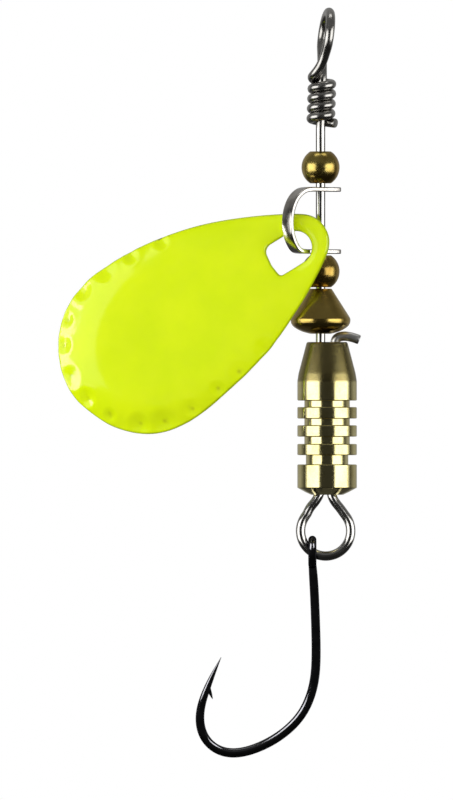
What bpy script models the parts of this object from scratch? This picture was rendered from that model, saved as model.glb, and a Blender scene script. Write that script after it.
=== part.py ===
"""In-line spinner (spinnerbait): wire with line eye, bearing stack, clevis, blade, brass body and hook.

Hangs upright from its line eye: +Z is the way the line pulls, the blade points to -X and its bright
side looks to -Y. Dimensions below are millimetres; everything is built in metres.
"""

import math

import bmesh
import bpy
import numpy as np
from mathutils import Vector
from mathutils.geometry import delaunay_2d_cdt

MM = 0.001

# --- wire -----------------------------------------------------------------------------------------
WIRE_R = 0.40                 # 0.8 mm spring wire
WIRE_SIDES = 12
EYE_R = 1.95                  # centreline radius of the round part of the line eye
EYE_TURN = math.radians(82.0)  # the eye stands almost square to the view
EYE_LEAN = 0.13               # sideways lean of the eye, x per z
EYE_CENTRE = (0.46, 0.0, -1.533)
WRAP_R = 0.825                # centreline radius of the wraps round the shaft
WRAP_PITCH = 0.83
WRAP_LOW_Z = -8.73            # height of the lowest turn where it passes behind the shaft
WRAP_TURNS = 3.75
NECK_X = 0.14                 # the wrapped part of the shaft stands a little off the axis
NECK_TOP_Z = -5.2
NECK_LOW_Z = -9.3
LOOP_R = 2.11                 # centreline radius of the hook loop
LOOP_CENTRE = (0.43, 0.0, -43.17)
LOOP_OPEN = math.radians(41.0)  # the round part of the hook loop ends this far above its centre
LEG_TOP_X = 1.22              # return leg where it leaves the body at the top

# --- bearing stack, top to bottom -----------------------------------------------------------------
BEAD_R = 1.60
BEAD_HALF = 1.34
BEAD_BORE = 0.45
UPPER_BEAD_Z = -12.63
LOWER_BEAD_Z = -21.36
CONE_TOP_Z = -22.82
CONE_RIM_R = 2.51
CONE_BOTTOM_Z = -26.61

# --- clevis ---------------------------------------------------------------------------------------
CLEVIS_TURN = math.radians(41.0)  # the bow points this far toward -Y from -X
CLEVIS_T = 0.38
CLEVIS_BOW_W = 1.20
CLEVIS_ARM_W = 1.26            # the arms are a little wider, round the shaft holes
CLEVIS_TOP_Z = -14.48          # mid-height of the upper arm
CLEVIS_LOW_Z = -19.70
CLEVIS_ARM = 2.00              # arms run this far past the shaft
CLEVIS_END_R = 0.45
CLEVIS_HOLE = 0.44

# --- blade ----------------------------------------------------------------------------------------
BLADE_T = 0.42
BLADE_DOME = 1.36              # height of the dome above the edge at its centre
BLADE_DOME_CENTRE = 12.6       # along the blade
BLADE_DOME_HALF = (10.8, 7.6)  # half length and half width of the dome
BLADE_DOME_FADE = 3.2          # how sharply the dome ends at its rim
BLADE_DOME_FLAT = 3            # the higher, the flatter the middle and the steeper the sides
BLADE_DOME_LEAN = 0.28         # the dome rises toward the tip by this share
BLADE_TILT = -0.31             # depth gained per unit of x by the plane of the blade edge
BLADE_DEPTH = -2.07            # depth of that plane on the shaft axis
BLADE_DROP = 0.655             # fall of the long axis per unit of x
BLADE_START = (-1.848, -18.984)  # x and z of the origin of the blade's own axes
BLADE_PIVOT_OUT = 2.451        # the pivot, out along the bow's direction and to its side
BLADE_PIVOT_SIDE = -0.048
BLADE_PIVOT_Z = -19.475
BLADE_GRID = 1.5               # spacing of the points inside the outline
BLADE_GRID_GAP = 0.62          # and their least distance from its edges
BLADE_EDGE = [                 # outline, along and across: lower side out to the tip, upper side back
    (-2.62, 0.12), (-2.26, 1.40), (-1.00, 2.50), (2.50, 4.43), (6.75, 6.25), (11.40, 7.29),
    (15.90, 7.66), (19.30, 6.84), (21.85, 4.62), (23.22, 1.75), (23.56, -0.20), (23.20, -2.30),
    (22.05, -4.50), (20.10, -6.22), (17.30, -7.18), (13.60, -7.20), (10.00, -6.72), (6.20, -5.72),
    (2.40, -4.12), (-1.00, -2.26), (-2.26, -1.16),
]
HOLE_R = 1.38
HOLE_CENTRE = (0.41, 0.20)     # centre of its round end, along and across
HOLE_BASE = 2.80
HOLE_BULGE = 0.09              # the straight end bows out a little
HOLE_CORNERS = (0.70, 0.28)    # rounding at its upper and lower corner

# --- body -----------------------------------------------------------------------------------------
BODY_X = 0.55
BODY_R = 2.50
BODY_BORE = 1.12
BODY_TOP_Z = -27.30
BODY_TOP_R = 1.66
BODY_SHOULDER_Z = -30.60
BODY_GROOVES = [(-32.22, -32.76, 1.91), (-33.73, -34.29, 1.91), (-35.25, -35.86, 1.91),
                (-36.80, -37.58, 1.78)]
BODY_LOW_Z = -39.50
BODY_BOTTOM_Z = -40.14

# --- hook -----------------------------------------------------------------------------------------
HOOK_EYE_WIRE = 0.345             # the wire thins a little round the eye
HOOK_EYE_R = 1.05
HOOK_SIDES = 12
HOOK_STEP = 0.25                  # spacing of the points the line is evened out over
HOOK_EVENING = 10                 # and the number of passes
HOOK_ANGLE = math.radians(32.0)   # where the hook sits on the loop, measured from its lowest point
HOOK_LINE = [                     # centreline of shank, bend and point: x, z, radius
    (-0.58, -46.20, 0.375), (-0.49, -49.00, 0.375), (-0.40, -51.50, 0.380), (-0.37, -53.60, 0.385),
    (-0.46, -55.36, 0.385), (-0.80, -56.93, 0.390), (-1.45, -58.38, 0.395), (-2.40, -59.54, 0.400),
    (-3.60, -60.50, 0.400), (-5.00, -61.26, 0.400), (-6.50, -61.76, 0.400), (-7.90, -61.82, 0.395),
    (-9.10, -61.30, 0.385), (-9.90, -60.30, 0.380), (-10.17, -59.05, 0.370), (-10.04, -57.88, 0.345),
    (-9.72, -56.87, 0.310), (-9.32, -55.86, 0.250), (-8.87, -54.85, 0.150), (-8.35, -53.78, 0.020),
]
BARB_ROOT = (-9.62, -56.25)
BARB_TIP = (-9.06, -57.30)
BARB_R = 0.20


def spline(points, steps, closed=False):
    """Points on a smooth curve through the given ones, steps to each span."""
    pts = [np.array(p, dtype=float) for p in points]
    count = len(pts)
    out = []
    spans = count if closed else count - 1
    for i in range(spans):
        p1 = pts[i]
        p2 = pts[(i + 1) % count]
        if closed:
            p0 = pts[i - 1]
            p3 = pts[(i + 2) % count]
        else:
            p0 = pts[i - 1] if i > 0 else 2 * p1 - p2
            p3 = pts[i + 2] if i + 2 < count else 2 * p2 - p1
        for s in range(steps):
            t = s / steps
            out.append(0.5 * (2 * p1 + (p2 - p0) * t + (2 * p0 - 5 * p1 + 4 * p2 - p3) * t * t
                              + (3 * p1 - p0 - 3 * p2 + p3) * t * t * t))
    if not closed:
        out.append(pts[-1])
    return out


def tube(points, radii, sides):
    """Vertices and faces of a round rod along the points, closed at both ends."""
    pts = [Vector(p) for p in points]
    verts = []
    faces = []
    side = None
    for i, p in enumerate(pts):
        ahead = pts[min(i + 1, len(pts) - 1)] - pts[max(i - 1, 0)]
        ahead.normalize()
        if side is None:
            side = ahead.orthogonal().normalized()
        side = (side - ahead * side.dot(ahead)).normalized()
        up = ahead.cross(side)
        for k in range(sides):
            a = 2 * math.pi * k / sides
            verts.append(p + (side * math.cos(a) + up * math.sin(a)) * radii[i])
    for i in range(len(pts) - 1):
        for k in range(sides):
            n = (k + 1) % sides
            faces.append((i * sides + k, i * sides + n, (i + 1) * sides + n, (i + 1) * sides + k))
    faces.append(tuple(range(sides)))
    faces.append(tuple(range((len(pts) - 1) * sides, len(pts) * sides)))
    return verts, faces


def lathe(profile, sides, axis_x=0.0):
    """Ring-shaped solid: the closed profile (radius, z) turned about a vertical axis."""
    verts = []
    faces = []
    n = len(profile)
    for k in range(sides):
        a = 2 * math.pi * k / sides
        for r, z in profile:
            verts.append(Vector((axis_x + r * math.cos(a), r * math.sin(a), z)))
    for k in range(sides):
        m = (k + 1) % sides
        for j in range(n):
            q = (j + 1) % n
            faces.append((k * n + j, m * n + j, m * n + q, k * n + q))
    return verts, faces


def material(name, colour, roughness, metallic):
    """Plain Principled material."""
    mat = bpy.data.materials.new(name)
    mat.use_nodes = True
    shader = mat.node_tree.nodes["Principled BSDF"]
    shader.inputs["Base Color"].default_value = (*colour, 1.0)
    shader.inputs["Roughness"].default_value = roughness
    shader.inputs["Metallic"].default_value = metallic
    mat.diffuse_color = (*colour, 1.0)
    return mat


def node(name, verts, faces, origin, mat, smooth_angle=35.0):
    """Object made from millimetre vertices, with its origin on the joint axis."""
    bm = bmesh.new()
    base = Vector(origin)
    made = [bm.verts.new((Vector(v) - base) * MM) for v in verts]
    for f in faces:
        bm.faces.new([made[i] for i in f])
    bmesh.ops.recalc_face_normals(bm, faces=bm.faces[:])
    limit = math.radians(smooth_angle)
    for f in bm.faces:
        f.smooth = True
    for e in bm.edges:
        e.smooth = len(e.link_faces) == 2 and e.calc_face_angle(0.0) < limit
    mesh = bpy.data.meshes.new(name)
    bm.to_mesh(mesh)
    bm.free()
    obj = bpy.data.objects.new(name, mesh)
    obj.location = base * MM
    obj.data.materials.append(mat)
    bpy.context.scene.collection.objects.link(obj)
    return obj


def boolean(target, tool, operation):
    """Exact boolean with a hidden tool object."""
    tool.hide_render = True
    tool.display_type = "WIRE"
    mod = target.modifiers.new(operation.lower(), "BOOLEAN")
    mod.operation = operation
    mod.solver = "EXACT"
    mod.object = tool


def neck_offset(z):
    """Sideways offset of the shaft in the wrapped part."""
    t = (z - NECK_LOW_Z) / (NECK_TOP_Z - NECK_LOW_Z)
    return NECK_X * min(1.0, max(0.0, t))


def wrap_point(turn):
    """Point on the wraps; turn counts from the lowest pass behind the shaft, rising."""
    a = math.pi / 2 + 2 * math.pi * turn
    z = WRAP_LOW_Z + WRAP_PITCH * turn
    return (neck_offset(z) + WRAP_R * math.cos(a), WRAP_R * math.sin(a), z)


def wire_path():
    """Centreline of the one wire, from the cut end of the wraps to the lock bent over the body."""
    path = [(1.26, 0.20, -8.92), (0.85, 0.46, -8.86)]
    steps = 16
    for i in range(-1, int(WRAP_TURNS * steps) + 1):
        path.append(wrap_point(i / steps))
    toward = (math.cos(EYE_TURN), -math.sin(EYE_TURN), 0.0)
    up = Vector((EYE_LEAN, 0.0, 1.0)).normalized()
    arc = []
    for i in range(17):
        b = math.radians(-28.0 + 236.0 * i / 16)
        arc.append(Vector(EYE_CENTRE) + (Vector(toward) * math.cos(b) + up * math.sin(b)) * EYE_R)
    rise = [path[-1], (-0.02, 0.84, -5.47), (-0.47, 0.60, -5.30), (-0.70, 0.04, -5.08),
            (-0.53, -0.48, -4.83), (-0.20, -0.78, -4.42), (0.12, -1.04, -3.85), (0.38, -1.34, -3.12),
            tuple(arc[0])]
    path = path[:-1] + spline(rise, 3)[:-1]
    path += [tuple(p) for p in arc[:-1]]
    shaft = [tuple(arc[-1]), (0.13, 1.22, -3.20), (0.14, 0.72, -3.90), (0.14, 0.27, -4.60),
             (0.14, 0.05, -5.20), (0.13, 0.00, -5.80)]
    path += spline(shaft, 3)
    path += [(0.0, 0.0, NECK_LOW_Z), (0.0, 0.0, -39.30), (-0.03, 0.0, -39.80), (-0.15, 0.0, -40.20),
             (-0.47, 0.0, -40.72), (-0.88, 0.0, -41.22)]
    centre = Vector(LOOP_CENTRE)
    first = math.pi - LOOP_OPEN
    last = 2 * math.pi + LOOP_OPEN
    for i in range(25):
        a = first + (last - first) * i / 24
        path.append(tuple(centre + Vector((math.cos(a), 0.0, math.sin(a))) * LOOP_R))
    path += [(1.66, 0.0, -41.28), (1.24, 0.0, -40.76), (0.98, 0.0, -40.28), (0.90, 0.0, -39.80),
             (0.91, 0.0, -39.20), (LEG_TOP_X, 0.0, -27.80)]
    path += [(LEG_TOP_X, 0.0, -27.36), (1.25, 0.0, -27.16), (1.34, 0.0, -27.00), (1.51, 0.0, -26.88),
             (1.79, 0.0, -26.81), (2.15, 0.0, -26.81), (2.52, 0.0, -26.87), (2.90, 0.0, -26.98),
             (3.26, 0.0, -27.12)]
    return path


def bead_profile(centre_z):
    """Small drilled ball with flat ends."""
    flat = math.acos(BEAD_HALF / BEAD_R)
    profile = [(BEAD_BORE, centre_z - BEAD_HALF), (BEAD_BORE, centre_z + BEAD_HALF)]
    steps = 12
    for i in range(steps + 1):
        a = flat + (math.pi - 2 * flat) * i / steps
        profile.append((BEAD_R * math.sin(a), centre_z + BEAD_R * math.cos(a)))
    return profile


def cone_profile():
    """Bearing cone: small flat top, straight flank, narrow rim and a domed underside."""
    flank = [(0.93, CONE_TOP_Z), (2.43, -25.18), (CONE_RIM_R, -25.36), (CONE_RIM_R, -25.54)]
    under = [(2.47, -25.72), (2.32, -25.96), (2.00, -26.20), (1.54, -26.42), (1.02, -26.57),
             (0.80, CONE_BOTTOM_Z)]
    return [(BEAD_BORE, CONE_BOTTOM_Z), (BEAD_BORE, CONE_TOP_Z)] + flank + under


def body_profile():
    """Turned weight: tapered top, four grooves, domed bottom, one wide bore for both wires."""
    profile = [(1.34, BODY_BOTTOM_Z), (BODY_BORE, BODY_BOTTOM_Z + 0.25), (BODY_BORE, BODY_TOP_Z)]
    profile += [(BODY_TOP_R, BODY_TOP_Z), (1.74, BODY_TOP_Z - 0.12), (2.40, BODY_SHOULDER_Z + 0.65),
                (BODY_R, BODY_SHOULDER_Z)]
    for top, low, r in BODY_GROOVES:
        profile += [(BODY_R, top + 0.06), (BODY_R - 0.06, top), (r, top), (r, low),
                    (BODY_R - 0.06, low), (BODY_R, low - 0.06)]
    profile += [(BODY_R, BODY_LOW_Z), (2.22, -39.68), (1.78, -39.93), (1.40, -40.10)]
    return profile


def clevis_mesh():
    """Folded strip: two parallel arms and the bow, swept as a flat section."""
    low = CLEVIS_LOW_Z
    top = CLEVIS_TOP_Z
    fold = [(0.70, top), (1.40, top), (2.15, top - 0.14), (2.88, top - 0.66), (3.38, top - 1.46),
            (3.63, top - 2.45), (3.62, top - 3.25), (3.42, top - 4.05), (3.05, top - 4.72),
            (2.62, low + 0.10), (2.00, low), (1.40, low)]
    line = [np.array(p) for p in spline(fold, 3)]
    ends = [0.0, 0.08, 0.24, CLEVIS_END_R]
    path = [np.array((-CLEVIS_ARM + d, top)) for d in ends] + line
    path += [np.array((-CLEVIS_ARM + d, low)) for d in reversed(ends)]
    length = len(path)
    outward = Vector((-math.cos(CLEVIS_TURN), -math.sin(CLEVIS_TURN), 0.0))
    across = Vector((math.sin(CLEVIS_TURN), -math.cos(CLEVIS_TURN), 0.0))
    up = Vector((0.0, 0.0, 1.0))
    verts = []
    faces = []
    for i, p in enumerate(path):
        ahead = path[min(i + 1, length - 1)] - path[max(i - 1, 0)]
        ahead /= np.linalg.norm(ahead)
        normal = np.array((ahead[1], -ahead[0])) * (CLEVIS_T / 2)
        d = min(p[0] + CLEVIS_ARM, CLEVIS_END_R)
        flare = min(1.0, max(0.0, (2.6 - p[0]) / 1.6))
        width = CLEVIS_BOW_W + (CLEVIS_ARM_W - CLEVIS_BOW_W) * flare
        half = width / 2 - CLEVIS_END_R + math.sqrt(CLEVIS_END_R ** 2 - (CLEVIS_END_R - d) ** 2)
        for side, depth in ((-1, -1), (1, -1), (1, 1), (-1, 1)):
            q = p + normal * depth
            verts.append(outward * q[0] + up * q[1] + across * (half * side))
    for i in range(length - 1):
        for k in range(4):
            n = (k + 1) % 4
            faces.append((i * 4 + k, i * 4 + n, i * 4 + 4 + n, i * 4 + 4 + k))
    faces.append((0, 1, 2, 3))
    faces.append(tuple(length * 4 - 4 + k for k in range(4)))
    return verts, faces


def blade_pivot():
    """Point the blade swings about, just inside the lower corner of the bow."""
    c = math.cos(CLEVIS_TURN)
    s = math.sin(CLEVIS_TURN)
    x = -c * BLADE_PIVOT_OUT + s * BLADE_PIVOT_SIDE
    y = -s * BLADE_PIVOT_OUT - c * BLADE_PIVOT_SIDE
    return (x, y, BLADE_PIVOT_Z)


def blade_frame():
    """Origin and axes of the blade: along from the hole, across, and out of its bright side."""
    out = Vector((BLADE_TILT, -1.0, 0.0)).normalized()
    along = Vector((-1.0, -BLADE_TILT, -BLADE_DROP)).normalized()
    across = out.cross(along)
    x, z = BLADE_START
    origin = Vector((x, BLADE_DEPTH + BLADE_TILT * x, z))
    return origin, along, across, out


def blade_outline():
    """Closed outline of the blade in its own plane."""
    return [(p[0], p[1]) for p in spline(BLADE_EDGE, 3, closed=True)]


def blade_hole():
    """D-shaped hole: round end to the tip, straight base to the wide end."""
    pts = []
    start, middle = HOLE_CENTRE
    for i in range(13):
        a = math.pi / 2 + math.pi * i / 12
        pts.append((start + HOLE_R * math.cos(a), HOLE_R * math.sin(a) + middle))
    for sign, r in zip((-1, 1), HOLE_CORNERS):
        corner = []
        for i in range(4):
            a = math.pi / 2 * i / 3
            corner.append((HOLE_BASE - r + r * math.sin(a), sign * (HOLE_R - r + r * math.cos(a)) + middle))
        if sign < 0:
            pts += corner + [(HOLE_BASE + HOLE_BULGE, middle + 0.2)]
        else:
            pts += corner[::-1]
    return pts


def dome(a, b):
    """Height of the bright side above the plane of the edge, fading out before the hole."""
    u = (a - BLADE_DOME_CENTRE) / BLADE_DOME_HALF[0]
    v = b / BLADE_DOME_HALF[1]
    k = BLADE_DOME_FADE
    rise = math.log1p(math.exp(k * (1.0 - (u * u + v * v) ** BLADE_DOME_FLAT))) / k
    return BLADE_DOME * rise * (1.0 + BLADE_DOME_LEAN * u)


def crossings(ring, a, b):
    """Number of sides of the closed ring that lie past (a, b) on a line along the blade."""
    count = 0
    for m in range(len(ring)):
        p = ring[m]
        q = ring[m - 1]
        if (p[1] > b) != (q[1] > b):
            if a < (q[0] - p[0]) * (b - p[1]) / (q[1] - p[1]) + p[0]:
                count += 1
    return count


def blade_mesh():
    """Domed plate with the hole, flat faces triangulated over an even grid of points."""
    rim = blade_outline()
    hole = blade_hole()
    pts = list(rim) + list(hole)
    edges = [(i, (i + 1) % len(rim)) for i in range(len(rim))]
    edges += [(len(rim) + i, len(rim) + (i + 1) % len(hole)) for i in range(len(hole))]
    fixed = np.array(pts)
    for i in range(20):
        for j in range(-6, 7):
            a = BLADE_GRID * (i - 2)
            b = BLADE_GRID * (j + 0.5 * (i % 2))
            near = np.hypot(fixed[:, 0] - a, fixed[:, 1] - b).min()
            if crossings(rim, a, b) % 2 and not crossings(hole, a, b) % 2 and near > BLADE_GRID_GAP:
                pts.append((a, b))
    flat = delaunay_2d_cdt([Vector(p) for p in pts], edges, [], 0, 1e-6)
    sheet = [tuple(v) for v in flat[0]]
    keep = []
    for f in flat[2]:
        a = sum(sheet[i][0] for i in f) / 3
        b = sum(sheet[i][1] for i in f) / 3
        if (crossings(rim, a, b) + crossings(hole, a, b)) % 2:
            keep.append(tuple(f))
    origin, along, across, out = blade_frame()
    verts = []
    for level in (0.5, -0.5):
        for a, b in sheet:
            verts.append(origin + along * a + across * b + out * (dome(a, b) + level * BLADE_T))
    n = len(sheet)
    faces = list(keep) + [tuple(i + n for i in reversed(f)) for f in keep]
    count = {}
    for f in keep:
        for m in range(3):
            e = (f[m], f[(m + 1) % 3])
            count[e] = count.get(e, 0) + 1
    for p, q in count:
        if (q, p) not in count:
            faces.append((p, p + n, q + n, q))
    return verts, faces


def hook_line():
    """Evenly spaced points along the hook, its small unevennesses smoothed out."""
    line = np.array(spline([(x, 0.0, z, r) for x, z, r in HOOK_LINE], 8))
    at = np.concatenate([[0.0], np.cumsum(np.linalg.norm(np.diff(line[:, :3], axis=0), axis=1))])
    want = np.linspace(0.0, at[-1], int(round(at[-1] / HOOK_STEP)) + 1)
    line = np.stack([np.interp(want, at, line[:, k]) for k in range(4)], axis=1)
    for _ in range(HOOK_EVENING):
        line[1:-1] += 0.25 * (line[:-2] + line[2:] - 2 * line[1:-1])
    return np.vstack([line[:-1:3], line[-1:]])


def hook_meshes():
    """Shank with bend and point, the ring of the hook eye, and the barb."""
    line = hook_line()
    shank = tube([p[:3] for p in line], [p[3] for p in line], HOOK_SIDES)
    x, y, z = hook_pivot()
    verts = []
    faces = []
    turns = 28
    for i in range(turns):
        a = 2 * math.pi * i / turns
        for k in range(HOOK_SIDES):
            b = 2 * math.pi * (k + 0.5) / HOOK_SIDES
            r = HOOK_EYE_R + HOOK_EYE_WIRE * math.cos(b)
            side = HOOK_EYE_WIRE * math.sin(b)
            verts.append(Vector((x + side, y + r * math.cos(a), z + r * math.sin(a))))
    for i in range(turns):
        j = (i + 1) % turns
        for k in range(HOOK_SIDES):
            n = (k + 1) % HOOK_SIDES
            faces.append((i * HOOK_SIDES + k, j * HOOK_SIDES + k, j * HOOK_SIDES + n, i * HOOK_SIDES + n))
    root = (BARB_ROOT[0], 0.0, BARB_ROOT[1])
    tip = (BARB_TIP[0], 0.0, BARB_TIP[1])
    barb = tube([root, tip], [BARB_R, 0.02], 8)
    return shank, (verts, faces), barb


def hook_pivot():
    """Point on the loop centreline where the hook hangs."""
    return (LOOP_CENTRE[0] - LOOP_R * math.sin(HOOK_ANGLE), 0.0,
            LOOP_CENTRE[2] - LOOP_R * math.cos(HOOK_ANGLE))


def build():
    """Makes the eight pieces."""
    for old in list(bpy.data.objects):
        bpy.data.objects.remove(old, do_unlink=True)
    steel = material("spring_steel", (0.62, 0.61, 0.57), 0.18, 1.0)
    plated = material("nickel_strip", (0.66, 0.64, 0.60), 0.15, 1.0)
    bronze = material("dark_brass", (0.36, 0.25, 0.07), 0.22, 1.0)
    brass = material("bright_brass", (0.72, 0.61, 0.30), 0.18, 1.0)
    yellow = material("chartreuse_paint", (0.72, 0.88, 0.01), 0.28, 0.0)
    black = material("black_nickel", (0.035, 0.035, 0.04), 0.20, 1.0)

    path = wire_path()
    verts, faces = tube(path, [WIRE_R] * len(path), WIRE_SIDES)
    node("wire", verts, faces, (0, 0, 0), steel)

    for name, z in (("upper_bead", UPPER_BEAD_Z), ("lower_bead", LOWER_BEAD_Z)):
        verts, faces = lathe(bead_profile(z), 24)
        node(name, verts, faces, (0, 0, z), bronze)
    verts, faces = lathe(cone_profile(), 32)
    node("bearing_cone", verts, faces, (0, 0, CONE_TOP_Z), bronze)

    verts, faces = clevis_mesh()
    strip = node("clevis", verts, faces, (0, 0, CLEVIS_TOP_Z), plated)
    middle = (CLEVIS_TOP_Z + CLEVIS_LOW_Z) / 2
    verts, faces = tube([(0, 0, middle - 4), (0, 0, middle + 4)], [CLEVIS_HOLE] * 2, 24)
    boolean(strip, node("clevis_hole_cutter", verts, faces, (0, 0, middle), plated), "DIFFERENCE")

    verts, faces = blade_mesh()
    node("blade", verts, faces, blade_pivot(), yellow)

    verts, faces = lathe(body_profile(), 32, BODY_X)
    node("body", verts, faces, (BODY_X, 0, BODY_TOP_Z), brass)

    shank, ring, barb = hook_meshes()
    hook = node("hook", *shank, hook_pivot(), black)
    boolean(hook, node("hook_ring_tool", *ring, hook_pivot(), black), "UNION")
    boolean(hook, node("hook_barb_tool", *barb, hook_pivot(), black), "UNION")


build()
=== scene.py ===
"""In-line spinner with a hammered blade: the looks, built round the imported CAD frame.

Lengths in the tables and in the mesh code are millimetres in the part's frame, and solid() turns them
into metres. The lure hangs from its line eye, +Z up, and the camera looks along +Y.
"""

import math

import bmesh
import bpy
import numpy as np
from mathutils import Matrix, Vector
from mathutils.geometry import delaunay_2d_cdt


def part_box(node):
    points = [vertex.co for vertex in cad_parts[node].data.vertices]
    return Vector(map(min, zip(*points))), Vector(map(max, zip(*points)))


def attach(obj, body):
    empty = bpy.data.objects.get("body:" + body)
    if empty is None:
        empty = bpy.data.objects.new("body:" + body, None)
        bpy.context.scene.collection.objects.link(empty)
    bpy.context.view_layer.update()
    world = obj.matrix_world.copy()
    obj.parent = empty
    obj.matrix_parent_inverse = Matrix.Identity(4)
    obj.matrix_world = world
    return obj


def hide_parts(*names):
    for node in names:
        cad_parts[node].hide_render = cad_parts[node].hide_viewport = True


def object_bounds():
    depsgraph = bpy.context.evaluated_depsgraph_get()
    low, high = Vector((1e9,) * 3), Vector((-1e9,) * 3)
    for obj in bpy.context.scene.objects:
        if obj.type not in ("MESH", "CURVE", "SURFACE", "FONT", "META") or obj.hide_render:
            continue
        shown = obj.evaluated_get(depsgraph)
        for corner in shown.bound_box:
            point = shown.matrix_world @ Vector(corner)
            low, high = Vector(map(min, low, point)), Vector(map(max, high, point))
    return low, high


MM = 0.001

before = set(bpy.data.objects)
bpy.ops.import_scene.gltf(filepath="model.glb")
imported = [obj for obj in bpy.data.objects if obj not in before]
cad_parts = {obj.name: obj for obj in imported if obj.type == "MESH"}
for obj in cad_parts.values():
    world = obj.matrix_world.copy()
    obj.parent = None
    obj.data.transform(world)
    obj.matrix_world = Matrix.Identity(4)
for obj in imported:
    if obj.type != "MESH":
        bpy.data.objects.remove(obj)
cad_low, cad_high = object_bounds()


# --- shape helpers --------------------------------------------------------------------------------
def spline(points, steps, closed=False):
    """Points on a smooth curve through the given ones, steps to each span."""
    pts = [np.array(p, dtype=float) for p in points]
    count = len(pts)
    out = []
    for i in range(count if closed else count - 1):
        p1 = pts[i]
        p2 = pts[(i + 1) % count]
        if closed:
            p0 = pts[i - 1]
            p3 = pts[(i + 2) % count]
        else:
            p0 = pts[i - 1] if i > 0 else 2 * p1 - p2
            p3 = pts[i + 2] if i + 2 < count else 2 * p2 - p1
        for s in range(steps):
            t = s / steps
            out.append(0.5 * (2 * p1 + (p2 - p0) * t + (2 * p0 - 5 * p1 + 4 * p2 - p3) * t * t
                              + (3 * p1 - p0 - 3 * p2 + p3) * t * t * t))
    if not closed:
        out.append(pts[-1])
    return out


def even(points, spacing, closed=False):
    """The same line with points at even distances."""
    pts = np.array([np.array(p, dtype=float) for p in points])
    if closed:
        pts = np.vstack([pts, pts[:1]])
    at = np.concatenate([[0.0], np.cumsum(np.linalg.norm(np.diff(pts, axis=0), axis=1))])
    count = max(3, int(round(at[-1] / spacing)))
    want = np.linspace(0.0, at[-1], count + 1)
    if closed:
        want = want[:-1]
    return np.stack([np.interp(want, at, pts[:, k]) for k in range(pts.shape[1])], axis=1)


def smooth_line(points, passes):
    """Evens out small kinks and leaves both ends where they are."""
    pts = np.array(points, dtype=float)
    for _ in range(passes):
        pts[1:-1] += 0.25 * (pts[:-2] + pts[2:] - 2 * pts[1:-1])
    return pts


def fillet(profile, radius, steps=4):
    """Closed profile with each corner rounded; a third number in a point is its own radius."""
    out = []
    count = len(profile)
    for i in range(count):
        p = np.array(profile[i][:2])
        size = profile[i][2] if len(profile[i]) > 2 else radius
        to_last = np.array(profile[i - 1][:2]) - p
        to_next = np.array(profile[(i + 1) % count][:2]) - p
        cut = min(size, 0.45 * np.linalg.norm(to_last), 0.45 * np.linalg.norm(to_next))
        a = p + to_last / np.linalg.norm(to_last) * cut
        b = p + to_next / np.linalg.norm(to_next) * cut
        for s in range(steps + 1):
            t = s / steps
            out.append(tuple((1 - t) ** 2 * a + 2 * t * (1 - t) * p + t * t * b))
    return out


def tube(points, radii, sides, squash=None):
    """Round rod along the points with closed ends: vertices, faces and a UV for each vertex."""
    pts = [Vector(p) for p in points]
    last = len(pts) - 1
    verts = []
    faces = []
    uvs = []
    side = None
    run = 0.0
    for i, p in enumerate(pts):
        ahead = (pts[min(i + 1, last)] - pts[max(i - 1, 0)]).normalized()
        if side is None:
            side = ahead.cross(Vector((0.0, 1.0, 0.0)))
            if side.length < 0.1:
                side = ahead.cross(Vector((1.0, 0.0, 0.0)))
        side = (side - ahead * side.dot(ahead)).normalized()
        up = ahead.cross(side)
        if i:
            run += (p - pts[i - 1]).length
        flat = squash[i] if squash is not None else 1.0
        for k in range(sides):
            a = 2 * math.pi * k / sides
            verts.append(p + side * (math.cos(a) * radii[i]) + up * (math.sin(a) * radii[i] * flat))
            uvs.append((2.0 * abs(k / sides - 0.5), run))
    for i in range(last):
        for k in range(sides):
            n = (k + 1) % sides
            faces.append((i * sides + k, i * sides + n, (i + 1) * sides + n, (i + 1) * sides + k))
    faces.append(tuple(range(sides)))
    faces.append(tuple(range(last * sides, (last + 1) * sides)))
    return verts, faces, uvs


def lathe(profile, sides, axis=(0.0, 0.0)):
    """Closed profile of (radius, z) turned about a vertical axis."""
    verts = []
    faces = []
    n = len(profile)
    for k in range(sides):
        a = 2 * math.pi * k / sides
        for r, z in profile:
            verts.append(Vector((axis[0] + r * math.cos(a), axis[1] + r * math.sin(a), z)))
    for k in range(sides):
        m = (k + 1) % sides
        for j in range(n):
            q = (j + 1) % n
            faces.append((k * n + j, m * n + j, m * n + q, k * n + q))
    return verts, faces


def solid(name, verts, faces, mat, uvs=None, sharp=50.0):
    """Mesh object from millimetre vertices, faces turned outward, smooth except at sharp edges."""
    bm = bmesh.new()
    made = [bm.verts.new(Vector(v) * MM) for v in verts]
    for f in faces:
        bm.faces.new([made[i] for i in f])
    bmesh.ops.recalc_face_normals(bm, faces=bm.faces[:])
    bm.verts.index_update()
    if uvs is not None:
        layer = bm.loops.layers.uv.new("UVMap")
        for f in bm.faces:
            for corner in f.loops:
                corner[layer].uv = uvs[corner.vert.index]
    mesh = bpy.data.meshes.new(name)
    bm.to_mesh(mesh)
    bm.free()
    mesh.shade_smooth()
    mesh.set_sharp_from_angle(angle=math.radians(sharp))
    mesh.materials.append(mat)
    obj = bpy.data.objects.new(name, mesh)
    bpy.context.scene.collection.objects.link(obj)
    return obj


def combine(target, tool, operation):
    """Exact boolean whose result becomes the target's own mesh."""
    mod = target.modifiers.new(operation.lower(), "BOOLEAN")
    mod.operation = operation
    mod.solver = "EXACT"
    mod.object = tool
    bpy.context.view_layer.update()
    done = bpy.data.meshes.new_from_object(target.evaluated_get(bpy.context.evaluated_depsgraph_get()))
    target.modifiers.clear()
    old = target.data
    target.data = done
    bpy.data.meshes.remove(old)
    bpy.data.objects.remove(tool, do_unlink=True)
    target.data.shade_smooth()
    target.data.set_sharp_from_angle(angle=math.radians(40.0))


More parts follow.
